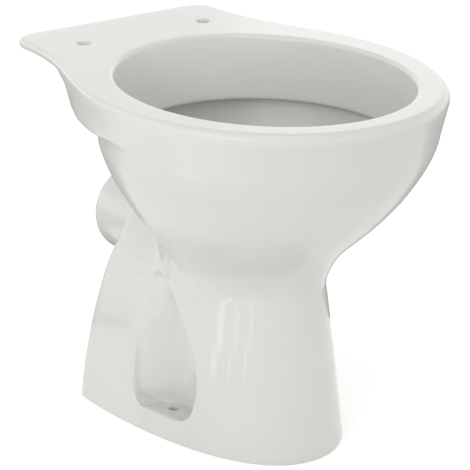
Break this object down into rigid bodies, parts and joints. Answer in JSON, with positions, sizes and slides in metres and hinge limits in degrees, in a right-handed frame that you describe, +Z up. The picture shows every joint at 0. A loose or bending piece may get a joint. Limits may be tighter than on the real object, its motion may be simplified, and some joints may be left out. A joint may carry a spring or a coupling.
{
  "type": "toilet pan",
  "caption": "Floor-standing washdown toilet pan in white glazed china: oval bowl with a flushing rim, flat seat deck, hollow foot with screw recesses, horizontal rear outlet.",
  "frame": {"origin": "on the floor, below the middle of the pan's overall length and width", "axes": "+Z up; -Y towards the front of the pan and +Y towards the wall; x = 0 is the plane of symmetry"},
  "size_m": [0.352, 0.48, 0.39],
  "materials": {
    "white_glazed_china": "glossy fired glaze"
  },
  "bodies": {
    "root": {"seat_deck": "white_glazed_china", "rim_band": "white_glazed_china", "rim_ledge": "white_glazed_china", "apron": "white_glazed_china", "channel_floor": "white_glazed_china", "bowl": "white_glazed_china", "bowl_well": "white_glazed_china", "pedestal": "white_glazed_china", "fixing_pocket_right": "white_glazed_china", "fixing_pocket_left": "white_glazed_china", "trap_sump": "white_glazed_china", "trap_riser": "white_glazed_china", "outlet_spigot": "white_glazed_china", "flush_inlet": "white_glazed_china"}
  },
  "joints": []
}
